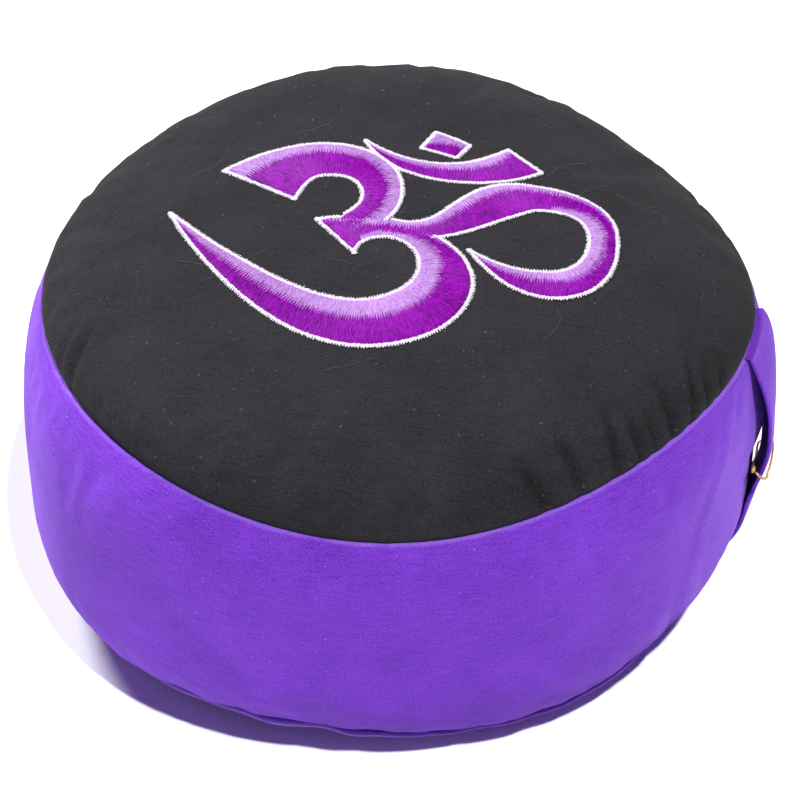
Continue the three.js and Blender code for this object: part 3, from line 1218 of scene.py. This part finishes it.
class VectorRow(tuple):
    """A table row that adds and scales number by number."""

    def __add__(self, other):
        return VectorRow(a + b for a, b in zip(self, other))

    def __sub__(self, other):
        return VectorRow(a - b for a, b in zip(self, other))

    def __mul__(self, factor):
        return VectorRow(a * factor for a in self)


def even_steps(points, pitch):
    """Places along a list of sections, a pitch apart on the edge that moves more."""
    places = [0.0]
    travelled = 0.0
    for index in range(1, len(points)):
        before, after = points[index - 1], points[index]
        step = max((after[0] - before[0]).length, (after[1] - before[1]).length)
        while travelled + step >= pitch * len(places):
            places.append(index - 1 + (pitch * len(places) - travelled) / step)
        travelled += step
    return places


def curves_in(rows):
    return len(rows) // 3


def section(rows, at):
    """Both ends of a stroke's section and its light shares: at counts the stroke's curves."""
    curve = min(int(at), curves_in(rows) - 1)
    share = at - curve
    left = 1 - share
    a, b, c, d = (VectorRow(row) for row in rows[3 * curve:3 * curve + 4])
    here = a * left ** 3 + b * (3 * share * left ** 2) + c * (3 * share ** 2 * left) + d * share ** 3
    ahead = (b - a) * left ** 2 + (c - b) * (2 * share * left) + (d - c) * share ** 2
    x, y, width, outer_light, inner_light = here
    half = Vector(ahead[:2]).orthogonal().normalized() * max(width, 0.3) / 2
    middle = Vector((x, y))
    return middle - half, middle + half, max(outer_light, 0), max(inner_light, 0)


def sections(rows, span):
    """The sections of a stroke between two counts of its curves, close together."""
    first, last = (round(end * CURVE_SAMPLES) for end in span)
    return [section(rows, index / CURVE_SAMPLES) for index in range(first, last + 1)]


class Embroidery:
    """Collects stitches, each a thread laid on the top panel, by colour."""

    def __init__(self, surface):
        self.surface = surface
        self.chance = random.Random(7)
        self.white, self.light, self.deep = [], [], []

    def stitch(self, start, end, lift_of):
        """A thread between two flat points. It dips into the cloth at both ends."""
        lift = self.chance.uniform(-0.06, 0.06)
        path = []
        for share, dip in ((0, STITCH_DIP), (0.5, 0), (1, STITCH_DIP)):
            flat = start.lerp(end, share)
            path.append(laid_on(self.surface, flat, lift + lift_of(flat) - dip))
        return path

    def fill(self, stroke):
        """Long and short stitches across a stroke: light along one side, deep on the other."""
        rows = stroke["rows"]
        dense = sections(rows, (0, curves_in(rows)))
        places = even_steps(dense, STITCH_PITCH)
        for count, place in enumerate(places):
            inner, outer, outer_light, inner_light = section(rows, place / CURVE_SAMPLES)
            across = outer - inner
            width = across.length
            if width < EDGE_WIDTH * 1.2:
                continue
            from_ends = [(count if stroke["ends"][0] else 1e3) * STITCH_PITCH,
                         (len(places) - 1 - count if stroke["ends"][1] else 1e3) * STITCH_PITCH]
            if min(from_ends) < EDGE_WIDTH * 0.6:
                continue
            rise = PAD_RISE * min(width / 12, 1) * smooth_between(0.5, 4, min(from_ends))

            def lift_of(flat, inner=inner, across=across, width=width, rise=rise):
                share = min(max((flat - inner).dot(across) / (width * width), 0), 1)
                return FILL_LIFT + stroke["lift"] + rise * math.sin(math.pi * share) ** 0.6

            for threads, low, high in self.spans(width, outer_light, inner_light, count):
                self.lay_span(threads, inner, across / width, low, high, lift_of)

    def spans(self, width, outer_light, inner_light, count):
        """The light and deep parts of one section, with teeth where they meet."""
        tooth = TOOTH * TOOTH_SHARES[count % 3]
        tooth = (tooth + self.chance.uniform(-0.6, 0.6)) * min(width / 14, 1)
        start = EDGE_WIDTH * 0.5
        end = width - EDGE_WIDTH * 0.5
        inner_end = start + inner_light * width + tooth if inner_light > 0.03 else start
        outer_start = end - outer_light * width + tooth if outer_light > 0.03 else end
        outer_start = min(max(outer_start, start), end)
        inner_end = min(inner_end, outer_start)
        return ((self.light, start, inner_end), (self.deep, inner_end, outer_start),
                (self.light, outer_start, end))

    def lay_span(self, threads, inner, toward, low, high, lift_of):
        """Stitches end to end from low to high along one section."""
        if high - low < SHORTEST_STITCH:
            return
        pieces = max(1, math.ceil((high - low) / LONGEST_STITCH))
        cuts = []
        for piece in range(pieces + 1):
            shift = self.chance.uniform(-0.4, 0.4) * (0 < piece < pieces)
            cuts.append(low + (high - low) * (piece + shift) / pieces)
        for near, far in zip(cuts, cuts[1:]):
            slip = toward.orthogonal() * self.chance.uniform(-0.12, 0.12)
            start = inner + toward * (near - STITCH_OVERLAP) + slip
            end = inner + toward * (far + STITCH_OVERLAP) - slip
            threads.append(self.stitch(start, end, lift_of))

    def border(self, line, side, depth_of, lift):
        """Short satin stitches square to a line of flat points."""
        travelled = 0.0
        laid = 0
        for index, (before, after) in enumerate(zip(line, line[1:])):
            step = (after - before).length
            if step == 0:
                continue
            along = (after - before) / step
            square = Vector((-along.y, along.x)) * side
            while travelled + step >= EDGE_PITCH * laid:
                here = before.lerp(after, (EDGE_PITCH * laid - travelled) / step)
                out = (0.0, EDGE_JAG)[laid % 2] + self.chance.uniform(-0.15, 0.4)
                depth = depth_of(index) + self.chance.uniform(-0.25, 0.25)
                slip = along * self.chance.uniform(-0.15, 0.15)
                self.white.append(self.stitch(here - square * out + slip, here + square * depth,
                                              lambda flat: lift))
                laid += 1
            travelled += step

    def border_stroke(self, stroke):
        """The white border along both edges of a stroke and across its ends."""
        rows = stroke["rows"]
        lift = EDGE_LIFT + stroke["lift"]

        def edge(side, span, towards):
            cuts = sections(rows, span)
            widths = [(outer - inner).length for inner, outer, *shares in cuts]
            self.border([cut[side] for cut in cuts], towards,
                        lambda index: min(EDGE_WIDTH, widths[index] * 0.45), lift)

        edge(1, stroke["outer"], -1)
        edge(0, stroke["inner"], 1)
        for at, bordered, side in zip((0, curves_in(rows)), stroke["ends"], (-1, 1)):
            if bordered:
                inner, outer = section(rows, at)[:2]
                across = [inner.lerp(outer, step / 20) for step in range(21)]
                self.border(across, side, lambda index: EDGE_WIDTH, lift)


def make_embroidery(surface):
    work = Embroidery(surface)
    for stroke in STROKES:
        work.fill(stroke)
        work.border_stroke(stroke)
    cusp = [outer for inner, outer, *shares in sections(LOWER_BOWL, CUSP_PART)]
    work.border(cusp, -1, lambda index: EDGE_WIDTH, CUSP_LIFT)
    threads = (
        ("light_stitches", work.light, colour(140, 92, 168), colour(186, 146, 204), 0.15),
        ("deep_stitches", work.deep, colour(78, 0, 98), colour(154, 10, 178), 0.03),
        ("white_stitches", work.white, colour(204, 196, 210), colour(234, 228, 238), 0.1),
    )
    for name, paths, dark, light, sheen in threads:
        thread = satin_thread(name.replace("stitches", "thread"), dark, light, sheen)
        piece = lay_threads(name, paths, THREAD, thread)
        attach(piece, ROOT)


# ---------------------------------------------------------------- lint and stray hairs

# Hairs on the top panel: start, heading and length, square to the view.
HAIRS = [
    (-92, -18, -28, 40),
    (-84, -34, 22, 30),
    (-90, 44, 12, 26),
    (-66, 60, -8, 26),
    (2, -40, 32, 24),
    (-14, -28, 160, 16),
    (66, 40, 64, 26),
    (80, 30, 38, 22),
    (96, 34, -30, 26),
    (-46, 70, 6, 24),
    (-30, -88, 15, 22),
    (60, -70, 40, 20),
]
HAIR_STEPS = 13
HAIR_THICKNESS = 0.1
HAIR_RISE = 0.5              # how far it stands off the cloth here and there
LINT_THICKNESS = 0.24
FIBRE_LIFT = 0.12            # how far a fibre's middle line lies off the cloth
LINT_ON_CROWN = 36
LINT_REACH = 140
LINT_ON_BAND = 10
LINT_AT = [(-22.4, 93), (-96.6, 126)]     # bearing and height on the band
HANDLE_HALF_ANGLE = 10       # no lint lies at the bearings that the handle hides


def hair_paths(chance, crown):
    """Hairs that wander over the top panel, here and there off it."""
    hairs = []
    for x, y, heading, length in HAIRS:
        place = Vector((x, y))
        turn = math.radians(heading)
        bend = chance.uniform(-0.05, 0.05)
        path = []
        for step in range(HAIR_STEPS + 1):
            lift = FIBRE_LIFT + HAIR_RISE * math.sin(step * 0.7 + heading) ** 2
            path.append(laid_on(crown, place, lift))
            bend += chance.uniform(-0.03, 0.03)
            turn += bend
            place = place + Vector((math.cos(turn), math.sin(turn))) * length / HAIR_STEPS
        hairs.append(path)
    return hairs


def lint_paths(chance, crown, band):
    """Short specks of lint on the top panel and on the side band."""
    shares = (0, 0.5, 1)
    specks = []
    for speck in range(LINT_ON_CROWN):
        reach = LINT_REACH * math.sqrt(chance.random())
        turn = chance.uniform(0, 2 * math.pi)
        place = Vector((reach * math.cos(turn), reach * math.sin(turn)))
        drift = Vector((chance.uniform(-0.7, 0.7), chance.uniform(-0.7, 0.7)))
        specks.append([laid_on(crown, place + drift * share, FIBRE_LIFT) for share in shares])
    spots = list(LINT_AT)
    for speck in range(LINT_ON_BAND):
        spots.append((chance.uniform(-180, 180), chance.uniform(25, 125)))
    for bearing, height in spots:
        if abs(bearing) < HANDLE_HALF_ANGLE:
            continue
        turn, rise = chance.uniform(-0.25, 0.25), chance.uniform(-0.5, 0.5)
        specks.append([
            laid_on_band(band, bearing + turn * share, height + rise * share, FIBRE_LIFT)
            for share in shares
        ])
    return specks


def make_fibres(crown, band):
    chance = random.Random(5)
    hairs = hair_paths(chance, crown)
    specks = lint_paths(chance, crown, band)
    kinds = (
        ("stray_hairs", hairs, HAIR_THICKNESS, colour(96, 84, 84), colour(132, 118, 116)),
        ("lint_specks", specks, LINT_THICKNESS, colour(120, 116, 124), colour(170, 162, 178)),
    )
    for name, paths, thickness, dark, light in kinds:
        piece = lay_threads(name, paths, thickness, fibre_finish(name + "_finish", dark, light))
        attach(piece, ROOT)


def fibre_finish(name, dark, light):
    finish = Finish(name)
    base = finish.mixed(finish.attribute("tone"), dark, light)
    return finish.shade(Base_Color=base, Roughness=0.9, Specular_IOR_Level=0.1)


# ---------------------------------------------------------------- making it


def main():
    add_camera()
    make_cord(gold_thread())
    add_studio()
    creases = fill_with_pressure()
    purple = purple_cotton("purple_cotton", Finish.cloth_place)
    band = make_side_band(purple, creases)
    crown = make_top_panel(black_cotton(), creases)
    make_base_panel(purple_cotton("purple_base", Finish.object_place))
    make_handle(purple)
    make_embroidery(crown)
    make_fibres(crown, band)


main()
